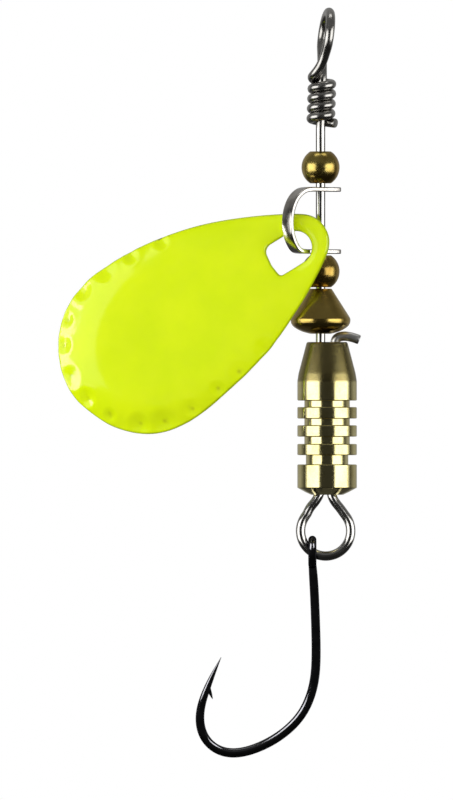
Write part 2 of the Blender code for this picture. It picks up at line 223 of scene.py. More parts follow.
def stand_in(obj, node):
    """obj rides on the body of that CAD node and is shown in its place."""
    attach(obj, node)
    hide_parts(node)


def point_values(obj, name, values):
    """Stores one number for each vertex, for the material to read."""
    layer = obj.data.attributes.new(name, "FLOAT", "POINT")
    layer.data.foreach_set("value", values.astype(np.float32))


def box_mm(node):
    """Lowest and highest corner of a CAD node in millimetres."""
    low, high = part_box(node)
    return low / MM, high / MM


# --- material helpers -----------------------------------------------------------------------------
def principled(name, metallic, roughness):
    """New material with its tree and Principled shader."""
    mat = bpy.data.materials.new(name)
    mat.use_nodes = True
    shader = mat.node_tree.nodes["Principled BSDF"]
    shader.inputs["Metallic"].default_value = metallic
    shader.inputs["Roughness"].default_value = roughness
    return mat, mat.node_tree, shader


def add(tree, kind, inputs, **settings):
    """Node with its inputs set to numbers or linked to sockets."""
    made = tree.nodes.new("ShaderNode" + kind)
    for key, value in settings.items():
        setattr(made, key, value)
    for key, value in inputs.items():
        if isinstance(value, bpy.types.NodeSocket):
            tree.links.new(value, made.inputs[key])
        else:
            made.inputs[key].default_value = value
    return made


def coordinates(tree, which, scale):
    """Scaled texture coordinates."""
    source = add(tree, "TexCoord", {})
    return add(tree, "Mapping", {"Vector": source.outputs[which], "Scale": scale}).outputs["Vector"]


def noise(tree, scale, detail, roughness, which="Object"):
    """Noise at coordinates times the scale, which is one number or one for each axis."""
    if isinstance(scale, float):
        scale = (scale, scale, scale)
    made = add(tree, "TexNoise", {"Vector": coordinates(tree, which, scale), "Scale": 1.0,
                                  "Detail": detail, "Roughness": roughness})
    return made.outputs["Fac"]


def attribute(tree, name):
    """Number stored at the mesh's vertices by point_values()."""
    return add(tree, "Attribute", {}, attribute_name=name).outputs["Fac"]


def remap(tree, value, low, high, to_low, to_high):
    """Value moved from one range to another, held at its ends."""
    made = add(tree, "MapRange", {"Value": value, "From Min": low, "From Max": high,
                                  "To Min": to_low, "To Max": to_high})
    return made.outputs["Result"]


def ramp(tree, value, stops):
    """Colour ramp through (position, colour) stops."""
    made = add(tree, "ValToRGB", {"Fac": value})
    elements = made.color_ramp.elements
    while len(elements) < len(stops):
        elements.new(0.5)
    for element, (position, colour) in zip(elements, stops):
        element.position = position
        element.color = (*colour, 1.0)
    return made.outputs["Color"]


def mix(tree, factor, a, b):
    """Colour mix of two sockets or colours."""
    made = tree.nodes.new("ShaderNodeMix")
    made.data_type = "RGBA"
    for index, value in ((0, factor), (6, a), (7, b)):
        if isinstance(value, bpy.types.NodeSocket):
            tree.links.new(value, made.inputs[index])
        elif index:
            made.inputs[index].default_value = (*value, 1.0)
        else:
            made.inputs[index].default_value = value
    return made.outputs[2]


def math_node(tree, operation, a, b=0.0):
    """Result of one Math node."""
    return add(tree, "Math", {0: a, 1: b}, operation=operation).outputs[0]


def weighted(tree, a, share_a, b, share_b):
    """Sum of two values, each times its share."""
    return math_node(tree, "ADD", math_node(tree, "MULTIPLY", a, share_a),
                     math_node(tree, "MULTIPLY", b, share_b))


def bump(tree, shader, height, distance):
    """Height socket as bump on the shader; distance is in metres."""
    made = add(tree, "Bump", {"Height": height, "Distance": distance})
    tree.links.new(made.outputs["Normal"], shader.inputs["Normal"])


# --- materials ------------------------------------------------------------------------------------
# Noise scales are per metre, bump distances metres, and colours linear.
NOISE_LOW = 0.3                # most of a noise lies between these two
NOISE_HIGH = 0.7
DULL_ROUGH = 0.24              # roughness added where "dull" is 1
WORN_FROM = 0.70               # above this "dull" value the wire is worn bright
WORN_GREY = (0.68, 0.67, 0.64)
TAPER_SHADE = (0.20, 0.155, 0.045)
TAPER_SHARE = 0.78             # how far the taper's colour goes to its shade
TAPER_GRAIN = 1.4
TAPER_ROUGH = 0.05
TAPER_FADE = 0.0001
# Thin paint at the edge, made darker by painted shade:
PAINT_THIN_AND_SHADE = (0.30, 0.42, 0.004)
# Painted shade in the hammer marks' pits:
PAINT_PIT_SHADE = (0.34, 0.40, 0.01)
PAINT_CHIP = (0.05, 0.045, 0.02)


def wire_material(name, light, dark, rough):
    """Drawn wire: fine lines along it, small stains, and rougher where "dull" says so, with painted shade
    darkening its colour there.
    """
    mat, tree, shader = principled(name, 1.0, rough)
    lines = noise(tree, (26.0, 0.35, 1.0), 3.0, 0.6, "UV")
    stains = noise(tree, 900.0, 4.0, 0.6)
    both = weighted(tree, lines, 0.45, stains, 0.55)
    dull = attribute(tree, "dull")
    clean = ramp(tree, both, [(0.34, dark), (0.56, light)])
    # Painted shade: the dark grey that the dull places go to stands in for dark reflections on the eye,
    # wraps and loop.
    shade_grey = ramp(tree, both, [(0.36, (0.13, 0.12, 0.105)), (0.60, (0.29, 0.275, 0.25))])
    worn = remap(tree, dull, WORN_FROM, 1.0, 0.0, 1.0)
    colour = mix(tree, worn, mix(tree, dull, clean, shade_grey), WORN_GREY)
    tree.links.new(colour, shader.inputs["Base Color"])
    even_rough = remap(tree, stains, NOISE_LOW, NOISE_HIGH, rough * 0.75, rough * 1.5)
    tree.links.new(weighted(tree, even_rough, 1.0, dull, DULL_ROUGH), shader.inputs["Roughness"])
    bump(tree, shader, lines, 0.000003)
    return mat


def turned_material(name, light, dark, rough, grain_from=None):
    """Brass turned on a lathe: fine rings and tarnish; above grain_from (metres) dark and grained."""
    mat, tree, shader = principled(name, 1.0, rough)
    rings = noise(tree, (260.0, 260.0, 21000.0), 3.0, 0.6)
    patches = noise(tree, (520.0, 520.0, 420.0), 5.0, 0.62)
    speck = noise(tree, 9000.0, 3.0, 0.7)
    tone = weighted(tree, patches, 0.6, speck, 0.4)
    colour = ramp(tree, tone, [(0.36, dark), (0.55, light)])
    height = math_node(tree, "MULTIPLY", rings, 0.5)
    rough_at = remap(tree, tone, 0.35, 0.65, rough * 1.3, rough * 0.8)
    if grain_from is not None:
        source = add(tree, "TexCoord", {})
        split = add(tree, "SeparateXYZ", {"Vector": source.outputs["Object"]})
        top = remap(tree, split.outputs["Z"], grain_from - TAPER_FADE, grain_from + TAPER_FADE, 0.0, 1.0)
        colour = mix(tree, math_node(tree, "MULTIPLY", top, TAPER_SHARE), colour, TAPER_SHADE)
        grain = math_node(tree, "MULTIPLY", speck, math_node(tree, "MULTIPLY", top, TAPER_GRAIN))
        height = math_node(tree, "ADD", height, grain)
        rough_at = weighted(tree, rough_at, 1.0, top, TAPER_ROUGH)
    tree.links.new(colour, shader.inputs["Base Color"])
    tree.links.new(rough_at, shader.inputs["Roughness"])
    bump(tree, shader, height, 0.000008)
    return mat


def ball_material(name, light, dark, red, rough):
    """Tumbled dark brass: cloudy colour, redder in places, and slightly dented."""
    mat, tree, shader = principled(name, 1.0, rough)
    cloud = noise(tree, 700.0, 5.0, 0.62)
    fine = noise(tree, 4200.0, 3.0, 0.6)
    patches = noise(tree, 380.0, 2.0, 0.5)
    base = ramp(tree, cloud, [(0.36, dark), (0.60, light)])
    colour = mix(tree, remap(tree, patches, 0.46, 0.66, 0.0, 0.4), base, red)
    tree.links.new(colour, shader.inputs["Base Color"])
    rough_at = remap(tree, fine, NOISE_LOW, NOISE_HIGH, rough * 0.8, rough * 1.35)
    tree.links.new(rough_at, shader.inputs["Roughness"])
    bump(tree, shader, weighted(tree, fine, 0.35, cloud, 1.0), 0.000022)
    return mat


def strip_material():
    """Nickelled strip: bright, with fine rolling lines."""
    mat, tree, shader = principled("nickel_strip", 1.0, 0.13)
    lines = noise(tree, (5200.0, 5200.0, 700.0), 3.0, 0.6)
    stains = noise(tree, 800.0, 4.0, 0.6)
    colour = ramp(tree, stains, [(0.36, (0.50, 0.47, 0.42)), (0.56, (0.70, 0.67, 0.62))])
    tree.links.new(colour, shader.inputs["Base Color"])
    rough_at = remap(tree, stains, NOISE_LOW, NOISE_HIGH, 0.10, 0.20)
    tree.links.new(rough_at, shader.inputs["Roughness"])
    bump(tree, shader, lines, 0.000006)
    return mat


def paint_material():
    """Fluorescent chartreuse enamel: thin, chipped and darkened by painted shade right at the "edge", with
    painted shade in each "pit".
    """
    mat, tree, shader = principled("chartreuse_paint", 0.0, 0.16)
    shader.inputs["IOR"].default_value = 1.45
    cloud = noise(tree, 260.0, 3.0, 0.5)
    fine = noise(tree, 1500.0, 2.0, 0.5)
    chips = noise(tree, 620.0, 3.0, 0.6)
    edge = attribute(tree, "edge")
    body = ramp(tree, cloud, [(0.35, (0.70, 0.89, 0.003)), (0.65, (0.76, 0.93, 0.004))])
    # The last 0.14 mm to the edge: thin paint and painted shade.
    thin_and_shade = mix(tree, remap(tree, edge, 0.02, 0.14, 0.65, 0.0), body, PAINT_THIN_AND_SHADE)
    # Painted shade darkens each hammer pit.
    pit_shaded = mix(tree, attribute(tree, "pit"), thin_and_shade, PAINT_PIT_SHADE)
    chipped = math_node(tree, "MULTIPLY", remap(tree, edge, 0.08, 0.20, 1.0, 0.0),
                        remap(tree, chips, 0.66, 0.70, 0.0, 1.0))
    tree.links.new(mix(tree, chipped, pit_shaded, PAINT_CHIP), shader.inputs["Base Color"])
    rough_at = remap(tree, fine, NOISE_LOW, NOISE_HIGH, 0.11, 0.17)
    tree.links.new(rough_at, shader.inputs["Roughness"])
    bump(tree, shader, weighted(tree, cloud, 1.0, fine, 0.25), 0.000010)
    return mat


def hook_material():
    """Black nickel: very dark and smooth, with small stains."""
    mat, tree, shader = principled("black_nickel", 1.0, 0.16)
    shader.inputs["Specular Tint"].default_value = (0.16, 0.16, 0.17, 1.0)
    stains = noise(tree, 1400.0, 4.0, 0.6)
    colour = ramp(tree, stains, [(0.35, (0.09, 0.09, 0.095)), (0.65, (0.13, 0.13, 0.14))])
    tree.links.new(colour, shader.inputs["Base Color"])
    rough_at = remap(tree, stains, NOISE_LOW, NOISE_HIGH, 0.08, 0.16)
    tree.links.new(rough_at, shader.inputs["Roughness"])
    bump(tree, shader, stains, 0.000004)
    return mat


steel = wire_material("spring_steel", (0.66, 0.65, 0.62), (0.46, 0.45, 0.42), 0.11)
nickel = strip_material()
bronze = ball_material("dark_brass", (0.55, 0.43, 0.12), (0.32, 0.22, 0.045), (0.36, 0.17, 0.04), 0.22)
brown = ball_material("brown_brass", (0.52, 0.38, 0.10), (0.32, 0.20, 0.04), (0.36, 0.19, 0.04), 0.22)
cone_brass = turned_material("turned_dark_brass", (0.54, 0.39, 0.10), (0.34, 0.23, 0.05), 0.20)
brass = turned_material("bright_brass", (0.81, 0.73, 0.36), (0.64, 0.55, 0.22), 0.13,
                        grain_from=-0.0306)
paint = paint_material()
black = hook_material()


# --- wire -----------------------------------------------------------------------------------------
WIRE_R = 0.40
EYE_R = 1.95
EYE_TURN = math.radians(82.0)
EYE_LEAN = 0.13
EYE_CENTRE = (0.46, 0.0, -1.533)
WRAP_R = 0.825
WRAP_PITCH = 0.83
WRAP_LOW_Z = -8.73
WRAP_TURNS = 3.75
NECK_X = 0.14
NECK_TOP_Z = -5.2
NECK_LOW_Z = -9.3
LOOP_R = 2.11
LOOP_CENTRE = (0.43, 0.0, -43.17)
LOOP_OPEN = math.radians(41.0)
LEG_TOP_X = 1.22
EYE_ARC = (-28.0, 208.0)       # degrees
TAIL = [(1.26, 0.20, -8.92), (0.85, 0.46, -8.86)]
RISE = [(-0.02, 0.84, -5.47), (-0.47, 0.60, -5.30), (-0.70, 0.04, -5.08), (-0.53, -0.48, -4.83),
        (-0.20, -0.78, -4.42), (0.12, -1.04, -3.85), (0.38, -1.34, -3.12)]
NECK = [(0.13, 1.22, -3.20), (0.14, 0.72, -3.90), (0.14, 0.27, -4.60), (0.14, 0.05, -5.20),
        (0.13, 0.00, -5.80)]
SHAFT_END = (0.0, 0.0, -38.9)
DOWN = [(0.0, 0.0, -39.30), (-0.03, 0.0, -39.80), (-0.15, 0.0, -40.20), (-0.47, 0.0, -40.72),
        (-0.88, 0.0, -41.22)]
BACK = [(1.66, 0.0, -41.28), (1.24, 0.0, -40.76), (0.98, 0.0, -40.28), (0.90, 0.0, -39.80),
        (0.91, 0.0, -39.20), (0.92, 0.0, -38.8)]
LOCK = [(LEG_TOP_X, 0.0, -27.80), (LEG_TOP_X, 0.0, -27.36), (1.25, 0.0, -27.16), (1.34, 0.0, -27.00),
        (1.51, 0.0, -26.88), (1.79, 0.0, -26.81), (2.15, 0.0, -26.81), (2.52, 0.0, -26.87),
        (2.90, 0.0, -26.98), (3.26, 0.0, -27.12)]
WIRE_STEP = 0.11
CUT_ROUND = ((0, 0.80), (1, 0.93), (-2, 0.93), (-1, 0.80))   # the cut ends' radii, as shares
DULL_SHADE_TOP = (NECK_LOW_Z, 0.45)  # above this height the bent wire is this rough and darkened by this much painted shade
DULL_SHADE_LOOP = (-40.2, 0.14)      # and below this one
LOCK_LOW_Z = -27.6             # the lock end lies above and to the right of these
LOCK_LEFT_X = 0.75
LOCK_HIGH_Z = -20.0


def wrap_point(turn):
    """Point on the wraps; turn counts from the lowest pass behind the shaft, rising."""
    a = math.pi / 2 + 2 * math.pi * turn
    z = WRAP_LOW_Z + WRAP_PITCH * turn
    off = NECK_X * min(1.0, max(0.0, (z - NECK_LOW_Z) / (NECK_TOP_Z - NECK_LOW_Z)))
    return (off + WRAP_R * math.cos(a), WRAP_R * math.sin(a), z)


def wire_line():
    """Centreline of the one wire, from the cut end of the wraps to the lock bent over the body."""
    steps = 48
    coil = [wrap_point(i / steps) for i in range(-3, int(WRAP_TURNS * steps) + 1)]
    tail = spline(TAIL + [coil[0]], 6)[:-1]
    toward = Vector((math.cos(EYE_TURN), -math.sin(EYE_TURN), 0.0))
    up = Vector((EYE_LEAN, 0.0, 1.0)).normalized()
    arc = []
    for i in range(65):
        b = math.radians(EYE_ARC[0] + (EYE_ARC[1] - EYE_ARC[0]) * i / 64)
        arc.append(tuple(Vector(EYE_CENTRE) + (toward * math.cos(b) + up * math.sin(b)) * EYE_R))
    line = list(tail) + coil[:-1] + spline([coil[-1]] + RISE + [arc[0]], 8)[:-1]
    line += arc[:-1] + spline([arc[-1]] + NECK, 8) + [(0.0, 0.0, NECK_LOW_Z), SHAFT_END]
    centre = Vector(LOOP_CENTRE)
    first = math.pi - LOOP_OPEN
    last = 2 * math.pi + LOOP_OPEN
    ring = []
    for i in range(81):
        a = first + (last - first) * i / 80
        ring.append(tuple(centre + Vector((math.cos(a), 0.0, math.sin(a))) * LOOP_R))
    line += spline([SHAFT_END] + DOWN + [ring[0]], 8)[1:-1] + ring[:-1]
    line += spline([ring[-1]] + BACK, 8) + spline(LOCK, 8)
    return smooth_line(even(line, WIRE_STEP), 3)


def wire():
    """The one wire, with its cut ends slightly rounded."""
    line = wire_line()
    first = line[0] + (line[0] - line[1]) * 0.12
    last = line[-1] + (line[-1] - line[-2]) * 0.12
    line = np.vstack([first, line, last])
    radii = np.full(len(line), WIRE_R)
    for index, share in CUT_ROUND:
        radii[index] = WIRE_R * share
    verts, faces, uvs = tube(line, radii, 28)
    piece = solid("wire_form", verts, faces, steel, uvs, 55.0)
    x, _, z = np.array([tuple(v) for v in verts]).T
    # Painted shade: the eye and wraps, and a little of the loop, get a darker colour as well as more
    # roughness; the lock end is worn bright.
    dull = DULL_SHADE_TOP[1] * np.clip((z - DULL_SHADE_TOP[0]) / 0.15, 0.0, 1.0)
    dull = dull + DULL_SHADE_LOOP[1] * np.clip((DULL_SHADE_LOOP[0] - z) / 0.6, 0.0, 1.0)
    lock = np.clip((z - LOCK_LOW_Z) / 0.3, 0.0, 1.0) * np.clip((x - LOCK_LEFT_X) / 0.1, 0.0, 1.0)
    dull = dull + lock * np.clip((LOCK_HIGH_Z - z) / 0.1, 0.0, 1.0)
    point_values(piece, "dull", dull)
    stand_in(piece, "wire")


# --- bearing stack --------------------------------------------------------------------------------
BORE_R = 0.45
CONE_TOP_R = 0.93
CONE_LOW_R = 0.80
CONE_FLANK = [(0.08, 2.36), (0.0, 2.54), (0.0, 2.72)]    # in from the rim, down from the top
CONE_UNDER = [(0.04, 2.90), (0.19, 3.14), (0.51, 3.38), (0.97, 3.60), (1.49, 3.75)]


def bead(node, name, mat):
    """Drilled ball with rounded bore edges, in the CAD bead's box."""
    low, high = box_mm(node)
    centre = (low + high) / 2
    radius = (high.x - low.x) / 2
    half = (high.z - low.z) / 2
    flat = math.acos(half / radius)
    profile = [(BORE_R, centre.z - half), (BORE_R, centre.z + half)]
    steps = 40
    for i in range(steps + 1):
        a = flat + (math.pi - 2 * flat) * i / steps
        profile.append((radius * math.sin(a), centre.z + radius * math.cos(a)))
    profile = fillet(profile, 0.06, 3)
    verts, faces = lathe(profile, 80)
    stand_in(solid(name, verts, faces, mat), node)


def cone():
    """Bearing cone: flat top, straight flank, narrow rim and domed underside."""
    low, high = box_mm("bearing_cone")
    top = high.z
    rim = (high.x - low.x) / 2
    profile = [(BORE_R, low.z), (BORE_R, top), (CONE_TOP_R, top)]
    profile += [(rim - r, top - z) for r, z in CONE_FLANK]
    under = spline([(rim - r, top - z) for r, z in CONE_UNDER] + [(CONE_LOW_R, low.z)], 4)
    profile += [(p[0], p[1], 0.02) for p in under]
    verts, faces = lathe(fillet(profile, 0.05, 3), 112)
    stand_in(solid("cone_form", verts, faces, cone_brass), "bearing_cone")


# --- clevis ---------------------------------------------------------------------------------------
CLEVIS_TURN = math.radians(41.0)
CLEVIS_T = 0.38
CLEVIS_TOP_Z = -14.48
CLEVIS_LOW_Z = -19.70
CLEVIS_ARM = 2.00
CLEVIS_END_R = 0.45
CLEVIS_EDGE_R = 0.10
CLEVIS_BOW_W = 1.20
CLEVIS_FLARE = 0.06            # the arms are this much wider than the bow
CLEVIS_HOLE_R = 0.44
CORNER_STEPS = 5
FOLD_TOP = [(0.70, 0.0), (1.40, 0.0), (2.15, -0.14), (2.88, -0.66), (3.38, -1.46), (3.63, -2.45),
            (3.62, -3.25), (3.42, -4.05), (3.05, -4.72)]    # heights from the top arm
FOLD_LOW = [(2.62, 0.10), (2.00, 0.0), (1.40, 0.0)]         # heights from the low arm


def clevis():
    """Folded strip with rounded edges, swept round the bow, with its two shaft holes."""
    low = CLEVIS_LOW_Z
    top = CLEVIS_TOP_Z
    fold = [(x, top + z) for x, z in FOLD_TOP] + [(x, low + z) for x, z in FOLD_LOW]
    ends = [CLEVIS_END_R * (1 - math.cos(math.pi / 2 * i / 8)) for i in range(9)]
    path = [np.array((-CLEVIS_ARM + d, top)) for d in ends]
    path += [np.array((x, top)) for x in (-1.2, -0.6, 0.0)]
    path += spline(fold, 12)
    path += [np.array((x, low)) for x in (0.7, 0.0, -0.6, -1.2)]
    path += [np.array((-CLEVIS_ARM + d, low)) for d in reversed(ends)]
    outward = Vector((-math.cos(CLEVIS_TURN), -math.sin(CLEVIS_TURN), 0.0))
    across = Vector((math.sin(CLEVIS_TURN), -math.cos(CLEVIS_TURN), 0.0))
    up = Vector((0.0, 0.0, 1.0))
    verts = []
    faces = []
    length = len(path)
    around = 4 * CORNER_STEPS
    for i, p in enumerate(path):
        ahead = path[min(i + 1, length - 1)] - path[max(i - 1, 0)]
        ahead /= np.linalg.norm(ahead)
        normal = np.array((ahead[1], -ahead[0]))
        d = min(p[0] + CLEVIS_ARM, CLEVIS_END_R)
        flare = min(1.0, max(0.0, (2.6 - p[0]) / 1.6))
        width = CLEVIS_BOW_W + CLEVIS_FLARE * flare
        rounded = math.sqrt(max(0.0, CLEVIS_END_R ** 2 - (CLEVIS_END_R - d) ** 2))
        half = width / 2 - CLEVIS_END_R + rounded
        round_r = min(CLEVIS_EDGE_R, half * 0.8)
        for corner, (su, sv) in enumerate(((1, 1), (-1, 1), (-1, -1), (1, -1))):
            for s in range(CORNER_STEPS):
                a = math.pi / 2 * (corner + s / (CORNER_STEPS - 1))
                u = su * (half - round_r) + round_r * math.cos(a)
                v = sv * (CLEVIS_T / 2 - round_r) + round_r * math.sin(a)
                q = p + normal * v
                verts.append(outward * q[0] + up * q[1] + across * u)
    for i in range(length - 1):
        for k in range(around):
            n = (k + 1) % around
            faces.append((i * around + k, i * around + n, (i + 1) * around + n, (i + 1) * around + k))
    faces.append(tuple(range(around)))
    faces.append(tuple(range((length - 1) * around, length * around)))
    piece = solid("clevis_form", verts, faces, nickel)
    middle = (top + low) / 2
    hole, hole_faces, _ = tube([(0, 0, middle - 4), (0, 0, middle + 4)], [CLEVIS_HOLE_R] * 2, 48)
    combine(piece, solid("hole_tool", hole, hole_faces, nickel), "DIFFERENCE")
    stand_in(piece, "clevis")


# --- blade ----------------------------------------------------------------------------------------
# The plane's first axis runs from the clevis end to the round end, the second across the blade.
BLADE_T = 0.42
BLADE_TILT = -0.31             # depth gained for each unit of x
BLADE_DEPTH = -2.07
BLADE_DROP = 0.655
BLADE_START = (-1.848, -18.984)
BLADE_EDGE = [
    (-2.62, 0.12), (-2.26, 1.40), (-1.00, 2.50), (2.50, 4.43), (6.75, 6.25), (11.40, 7.29),
    (15.90, 7.66), (19.30, 6.84), (21.85, 4.62), (23.22, 1.75), (23.56, -0.20), (23.20, -2.30),
    (22.05, -4.50), (20.10, -6.22), (17.30, -7.18), (13.60, -7.20), (10.00, -6.72), (6.20, -5.72),
    (2.40, -4.12), (-1.00, -2.26), (-2.26, -1.16),
]
HOLE_R = 1.38
HOLE_CENTRE = (0.41, 0.20)
HOLE_BASE = 2.80
HOLE_BULGE = 0.09
HOLE_CORNERS = (0.70, 0.28)
DOME_MIDDLE = 12.6             # the dome's middle along the blade, and its half length and width
DOME_HALF = (10.8, 7.6)
DOME_HEIGHT = 1.36
DOME_FADE = 3.2
DOME_POWER = 6
DOME_LEAN = 0.28               # share by which the dome is higher towards the round end
BLADE_LEAN = 0.25              # turns the flat middle a little, but not its rim
CROWN_BAND = 3.6               # round the hole the plate is this narrow or less, and crowned
CROWN_HEIGHT = 0.20
CROWN_SINK = 0.12
BLADE_GRID = 0.27
RIM_ROWS = (0.015, 0.055, 0.12, 0.21)
RIM_CLEAR = 0.33               # the grid keeps this far from the edges
BLADE_ROUND = 0.21             # the painted edge is round, half a thickness deep
MARK_FIRST = 11.9              # hammer marks: first and last place along the edge, and spacing
MARK_LAST = 51.0
MARK_PITCH = 2.78
MARK_INSET = (0.36, 0.52)      # distance from the edge: least, and how much more in mid-row
MARK_SIZE = (0.80, 0.22)       # size, and how much it varies
MARK_DEPTH = (0.15, 0.04, 0.06)   # depth, how much it varies, and how much it grows along the row
MARK_LIP = 0.35                # the raised ring round a mark, as a share of its depth
PIT_SHARE = 0.72               # only this share of the marks has a pit in its middle
PIT_R = 0.16
PIT_DEPTH = 0.06


def blade_outline():
    """Closed outline in the blade's plane, in even steps."""
    return even(spline(BLADE_EDGE, 16, closed=True), 0.20, True)


def blade_hole():
    """D-shaped hole: half a circle, then a slightly bulged base with two round corners."""
    pts = []
    start, middle = HOLE_CENTRE
    for i in range(25):
        a = math.pi / 2 + math.pi * i / 24
        pts.append((start + HOLE_R * math.cos(a), HOLE_R * math.sin(a) + middle))
    for sign, r in zip((-1, 1), HOLE_CORNERS):
        corner = []
        for i in range(7):
            a = math.pi / 2 * i / 6
            corner.append((HOLE_BASE - r + r * math.sin(a), sign * (HOLE_R - r + r * math.cos(a)) + middle))
        if sign < 0:
            pts += corner + [(HOLE_BASE + HOLE_BULGE, middle + 0.2)]
        else:
            pts += corner[::-1]
    return even(pts, 0.14, True)


def inset(ring, distance):
    """Closed line moved to its left by a distance."""
    ahead = np.roll(ring, -1, 0) - np.roll(ring, 1, 0)
    ahead /= np.linalg.norm(ahead, axis=1)[:, None]
    return ring + np.stack([-ahead[:, 1], ahead[:, 0]], axis=1) * distance


def inside(ring, pts):
    """Which points lie inside the closed line."""
    hit = np.zeros(len(pts), dtype=int)
    for p, q in zip(ring, np.roll(ring, 1, 0)):
        cross = (p[1] > pts[:, 1]) != (q[1] > pts[:, 1])
        if cross.any():
            at = (q[0] - p[0]) * (pts[:, 1] - p[1]) / (q[1] - p[1]) + p[0]
            hit += cross & (pts[:, 0] < at)
    return hit % 2 == 1


def nearest(ring, pts):
    """Distance from each point to the closed line."""
    best = np.full(len(pts), 1e9)
    for p, q in zip(ring, np.roll(ring, -1, 0)):
        side = q - p
        t = np.clip(((pts - p) @ side) / np.linalg.norm(side) ** 2, 0.0, 1.0)
        best = np.minimum(best, np.linalg.norm(pts - (p + t[:, None] * side), axis=1))
    return best


def blade_sheet():
    """Points of the blade's plane, with the closed edges first, and its triangles."""
    rim = blade_outline()
    hole = blade_hole()
    turn = 1.0 if inside(rim, inset(rim, 0.05)[:1])[0] else -1.0
    turn_hole = -1.0 if inside(hole, inset(hole, 0.05)[:1])[0] else 1.0
    pts = [rim, hole]
    for d in RIM_ROWS:
        pts.append(inset(rim, turn * d))
        pts.append(inset(hole, turn_hole * d))
    a, b = np.meshgrid(np.arange(-3.0, 24.0, BLADE_GRID), np.arange(-8.0, 8.0, BLADE_GRID * 0.866))
    a = a + (np.arange(a.shape[0]) % 2)[:, None] * BLADE_GRID / 2
    grid = np.stack([a.ravel(), b.ravel()], axis=1)
    grid = grid[inside(rim, grid) & ~inside(hole, grid)]
    keep = (nearest(rim, grid) > RIM_CLEAR) & (nearest(hole, grid) > RIM_CLEAR)
    pts.append(grid[keep])
    pts = np.vstack(pts)
    edges = [(i, (i + 1) % len(rim)) for i in range(len(rim))]
    edges += [(len(rim) + i, len(rim) + (i + 1) % len(hole)) for i in range(len(hole))]
    flat = delaunay_2d_cdt([Vector(p) for p in pts], edges, [], 0, 1e-6)
    sheet = np.array([tuple(v) for v in flat[0]])
    tris = np.array([tuple(f) for f in flat[2]])
    middle = sheet[tris].mean(axis=1)
    tris = tris[inside(rim, middle) & ~inside(hole, middle)]
    return sheet, tris, rim, hole


def dome(a, b, to_rim, to_hole):
    """Height of the plate's middle surface before hammering."""
    u = (a - DOME_MIDDLE) / DOME_HALF[0]
    r = np.sqrt(u ** 2 + (b / DOME_HALF[1]) ** 2)
    soft = np.log1p(np.exp(DOME_FADE * (1.0 - r ** DOME_POWER))) / DOME_FADE
    height = DOME_HEIGHT * soft * (1.0 + DOME_LEAN * u) + BLADE_LEAN * u * np.exp(-3.0 * r ** 8)
    band = to_rim + to_hole
    lift = np.clip((CROWN_BAND - band) / 1.2, 0.0, 1.0)
    lift = lift * lift * (3 - 2 * lift)
    return height + lift * (CROWN_HEIGHT * (1 - ((to_hole - to_rim) / band) ** 2) - CROWN_SINK)


def hammer(sheet, rim, height):
    """Row of round marks inside the rim, uneven in size and depth: new heights, and the pits."""
    pit = np.zeros(len(sheet))
    count = int(round((MARK_LAST - MARK_FIRST) / MARK_PITCH))
    run = np.cumsum(np.linalg.norm(np.roll(rim, -1, 0) - rim, axis=1))
    for i in range(count + 1):
        at = MARK_FIRST + MARK_PITCH * i + 0.18 * math.sin(2.3 * i)
        share = i / count
        depth_in = MARK_INSET[0] + MARK_INSET[1] * math.sin(math.pi * min(1.0, share * 1.25)) ** 0.8
        size = MARK_SIZE[0] + MARK_SIZE[1] * math.sin(1.7 * i + 0.6)
        deep = MARK_DEPTH[0] + MARK_DEPTH[1] * math.sin(2.9 * i + 1.0) + MARK_DEPTH[2] * share
        index = int(np.searchsorted(run, at % run[-1])) % len(rim)
        foot = rim[index]
        ahead = rim[(index + 2) % len(rim)] - rim[index - 2]
        normal = np.array([-ahead[1], ahead[0]]) / np.linalg.norm(ahead)
        if not inside(rim, np.array([foot + normal * 0.3]))[0]:
            normal = -normal
        d = np.linalg.norm(sheet - (foot + normal * depth_in), axis=1) / size
        height = height - deep * np.exp(-(d * 1.35) ** 2)
        height = height + MARK_LIP * deep * np.exp(-((d - 1.15) * 2.6) ** 2)
        if share < PIT_SHARE:
            core = np.exp(-(d * size / PIT_R) ** 2)
            height = height - PIT_DEPTH * core
            # How much painted shade the paint puts in this pit.
            pit = np.maximum(pit, core * (0.35 + 0.4 * abs(math.sin(1.3 * i))))
    return height, pit


def blade():
    """Domed, hammered plate with round painted edges."""
    sheet, tris, rim, hole = blade_sheet()
    to_rim = nearest(rim, sheet)
    to_hole = nearest(hole, sheet)
    a, b = sheet[:, 0], sheet[:, 1]
    height, pit = hammer(sheet, rim, dome(a, b, to_rim, to_hole))
    edge = np.minimum(to_rim, to_hole)
    round_off = np.clip(edge / BLADE_ROUND, 0.0, 1.0)
    thick = BLADE_T / 2 * np.sqrt(np.clip(1 - (1 - round_off) ** 2, 0.0, 1.0))
    out = Vector((BLADE_TILT, -1.0, 0.0)).normalized()
    along = Vector((-1.0, -BLADE_TILT, -BLADE_DROP)).normalized()
    across = out.cross(along)
    x, z = BLADE_START
    origin = Vector((x, BLADE_DEPTH + BLADE_TILT * x, z))
    place = np.array(origin) + np.outer(a, along) + np.outer(b, across) + np.outer(height, out)
    lip = thick < 1e-4
    lower = np.where(lip, np.arange(len(sheet)), len(sheet) + np.cumsum(~lip) - 1)
    front = place + np.outer(thick, out)
    rear = (place - np.outer(thick, out))[~lip]
    verts = [tuple(v) for v in np.vstack([front, rear])]
    faces = [tuple(f) for f in tris] + [tuple(lower[f[::-1]]) for f in tris]
    piece = solid("blade_form", verts, faces, paint, None, 75.0)
    for key, values in (("edge", edge), ("pit", pit)):
        point_values(piece, key, np.concatenate([values, values[~lip]]))
    stand_in(piece, "blade")


